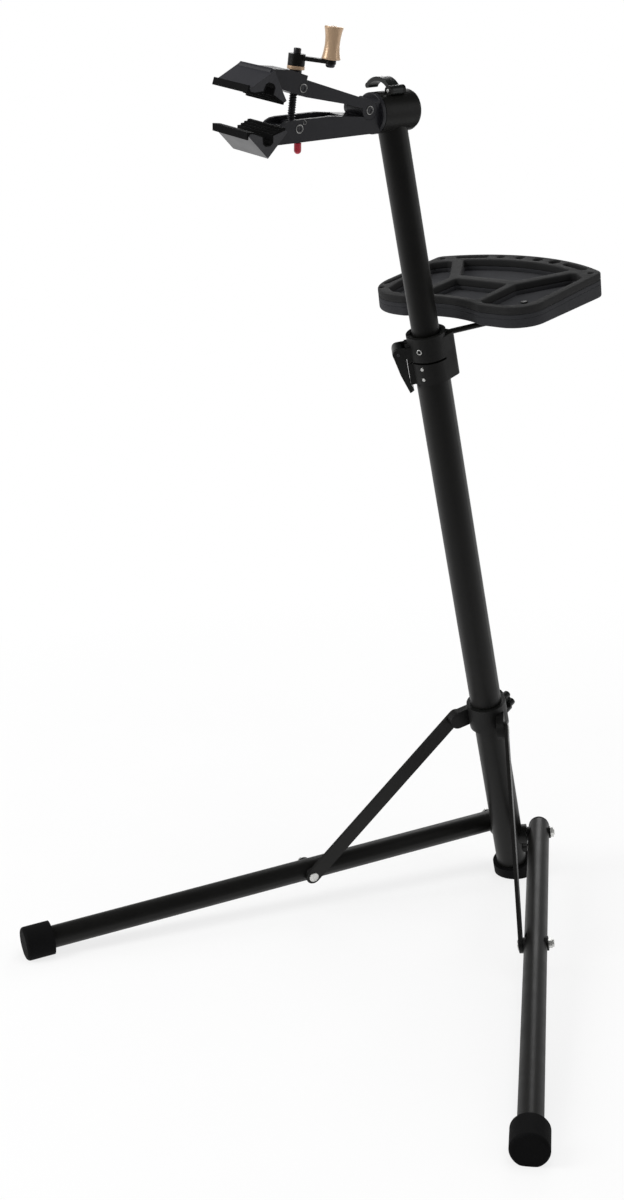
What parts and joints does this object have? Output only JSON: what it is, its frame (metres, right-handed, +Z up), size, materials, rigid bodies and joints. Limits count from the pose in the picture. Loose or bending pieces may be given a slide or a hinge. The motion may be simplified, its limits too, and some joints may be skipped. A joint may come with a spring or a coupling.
{
  "type": "bicycle repair stand",
  "caption": "Folding workshop stand with a leaning telescopic mast, splayed legs, tool tray and a screw-closed jaw clamp that holds a bicycle by its seat post or frame.",
  "frame": {"origin": "middle of the mast foot on the floor", "axes": "+Z up; the mast leans towards -Y, which is the front; +X is on the right seen from the front"},
  "size_m": [0.9406, 0.7708, 1.3665],
  "materials": {
    "powder_black": "satin powder coat",
    "cast_black": "moulded, matt",
    "rubber_black": "matt rubber",
    "zinc_steel": "bright zinc",
    "lever_plastic": "moulded, satin",
    "grey_alloy": "dark grey coated casting",
    "dark_steel": "dark oiled steel",
    "champagne_alloy": "champagne anodised",
    "red_plastic": "gloss red",
    "tray_grey": "matt grey foam",
    "tray_black": "matt black foam"
  },
  "bodies": {
    "mast": {"lower_tube": "powder_black", "mast_foot": "rubber_black", "leg_brackets": "powder_black", "bracket_screws": "zinc_steel", "pivot_bolts": "zinc_steel", "height_collar": "cast_black", "guide_bush": "lever_plastic", "collar_fixings": "zinc_steel", "height_lever_pin": "dark_steel"},
    "height_lever": {"height_lever": "lever_plastic"},
    "carriage": {"glide_bush": "lever_plastic"},
    "upper_mast": {"upper_tube": "powder_black", "head_tube": "powder_black", "head_lever_pin": "zinc_steel"},
    "head_lever": {"head_lever": "lever_plastic"},
    "clamp": {"spindle": "grey_alloy", "spindle_cap": "lever_plastic", "spindle_bolt": "zinc_steel", "lower_arm": "grey_alloy", "lower_jaw": "grey_alloy", "lower_pad": "rubber_black", "lower_jaw_screws": "zinc_steel", "arm_pin": "zinc_steel"},
    "upper_arm": {"upper_arm": "grey_alloy", "upper_jaw": "grey_alloy", "upper_pad": "rubber_black", "upper_jaw_screws": "zinc_steel"},
    "screw_block": {"bearing_block": "grey_alloy", "thrust_ring": "champagne_alloy"},
    "crank": {"clamp_screw": "dark_steel", "crank": "powder_black", "crank_screw": "dark_steel", "grip_axle": "dark_steel"},
    "crank_grip": {"crank_grip": "champagne_alloy"},
    "screw_nut": {"screw_nut": "grey_alloy"},
    "trigger": {"trigger": "red_plastic"},
    "slide_collar": {"slide_collar": "cast_black", "collar_liner": "lever_plastic"},
    "collar_knob": {"collar_knob": "lever_plastic", "knob_stud": "zinc_steel"},
    "left_leg": {"left_leg": "powder_black", "left_plug": "rubber_black", "left_foot": "rubber_black", "left_saddles": "cast_black", "left_strut_bolt": "zinc_steel"},
    "left_strut": {"left_strut": "powder_black", "left_lug_bolt": "zinc_steel"},
    "right_leg": {"right_leg": "powder_black", "right_plug": "rubber_black", "right_foot": "rubber_black", "right_saddles": "cast_black", "right_strut_bolt": "zinc_steel"},
    "right_strut": {"right_strut": "powder_black", "right_lug_bolt": "zinc_steel"},
    "tray": {"tray_rod": "powder_black", "tray_plate": "powder_black", "tray_base": "tray_grey", "tray_foam": "tray_black", "tray_screws": "zinc_steel"}
  },
  "joints": [
    {"name": "left_leg_fold", "type": "hinge", "parent": "mast", "child": "left_leg", "pos_m": [-0.0456, 0.00062, 0.08317], "axis": [-0.8686, 0.4717, 0.1515], "range_deg": [0, 78.7]},
    {"name": "right_leg_fold", "type": "hinge", "parent": "mast", "child": "right_leg", "pos_m": [0.0456, 0.00062, 0.08317], "axis": [-0.8686, -0.4717, -0.1515], "range_deg": [0, 78.7]},
    {"name": "left_strut_turn", "type": "hinge", "parent": "left_leg", "child": "left_strut", "pos_m": [-0.21517, -0.30333, 0.05741], "axis": [0.8686, -0.4717, -0.1515], "range_deg": [0, 144.09]},
    {"name": "right_strut_turn", "type": "hinge", "parent": "right_leg", "child": "right_strut", "pos_m": [0.21517, -0.30333, 0.05741], "axis": [0.8686, 0.4717, 0.1515], "range_deg": [0, 144.09]},
    {"name": "collar_slide", "type": "slide", "parent": "mast", "child": "slide_collar", "axis": [0, -0.3057, 0.9521], "range_m": [0, 0.44253]},
    {"name": "collar_knob_turn", "type": "hinge", "parent": "slide_collar", "child": "collar_knob", "pos_m": [0, -0.05297, 0.32854], "axis": [0, 0.9521, 0.3057], "continuous": true},
    {"name": "height_slide", "type": "slide", "parent": "mast", "child": "carriage", "axis": [0, -0.3057, 0.9521], "range_m": [-0.2, 0.35]},
    {"name": "mast_swivel", "type": "hinge", "parent": "carriage", "child": "upper_mast", "pos_m": [0, -0.27513, 0.85692], "axis": [0, -0.3057, 0.9521], "range_deg": [-90, 90]},
    {"name": "height_lever_open", "type": "hinge", "parent": "mast", "child": "height_lever", "pos_m": [-0.03514, -0.32632, 0.92975], "axis": [-0.6018, 0.7604, 0.2441], "range_deg": [0, 120]},
    {"name": "head_lever_open", "type": "hinge", "parent": "upper_mast", "child": "head_lever", "pos_m": [0.01393, -0.41128, 1.28878], "axis": [0.2755, 0.9581, 0.0785], "range_deg": [0, 120]},
    {"name": "head_spin", "type": "hinge", "parent": "upper_mast", "child": "clamp", "pos_m": [0, -0.40505, 1.26157], "axis": [-0.2755, -0.9581, -0.0785], "continuous": true},
    {"name": "jaw_close", "type": "hinge", "parent": "clamp", "child": "upper_arm", "pos_m": [-0.01297, -0.45439, 1.266], "axis": [0.9548, -0.2633, -0.1382], "range_deg": [-4.94, 10]},
    {"name": "bearing_turn", "type": "hinge", "parent": "upper_arm", "child": "screw_block", "pos_m": [-0.03894, -0.563, 1.29347], "axis": [0.9548, -0.2633, -0.1382], "range_deg": [-5, 2.47]},
    {"name": "crank_turn", "type": "hinge", "parent": "screw_block", "child": "crank", "pos_m": [-0.03894, -0.563, 1.29347], "axis": [-0.1397, 0.0131, -0.9901], "range_deg": [-1170, 2370]},
    {"name": "grip_spin", "type": "hinge", "parent": "crank", "child": "crank_grip", "pos_m": [0.01167, -0.54933, 1.34711], "axis": [0.1397, -0.0131, 0.9901], "continuous": true},
    {"name": "nut_turn", "type": "hinge", "parent": "clamp", "child": "screw_nut", "pos_m": [-0.04592, -0.56234, 1.24398], "axis": [0.9548, -0.2633, -0.1382], "range_deg": [-2.47, 5]},
    {"name": "trigger_press", "type": "slide", "parent": "clamp", "child": "trigger", "axis": [0.1117, -0.113, 0.9873], "range_m": [0, 0.004], "stiffness_N_per_m": 400},
    {"name": "tray_lift", "type": "slide", "parent": "mast", "child": "tray", "axis": [0, -0.3057, 0.9521], "range_m": [0, 0.055]}
  ],
  "couplings": [
    {"joint": "right_leg_fold", "follows": "left_leg_fold", "ratio": 1},
    {"joint": "left_strut_turn", "follows": "left_leg_fold", "ratio": 1.8309},
    {"joint": "right_strut_turn", "follows": "left_leg_fold", "ratio": 1.8309},
    {"joint": "collar_slide", "follows": "left_leg_fold", "m_per_rad": 0.32217},
    {"joint": "jaw_close", "follows": "crank_turn", "ratio": 0.004219},
    {"joint": "bearing_turn", "follows": "crank_turn", "ratio": -0.002109},
    {"joint": "nut_turn", "follows": "crank_turn", "ratio": 0.002109}
  ]
}
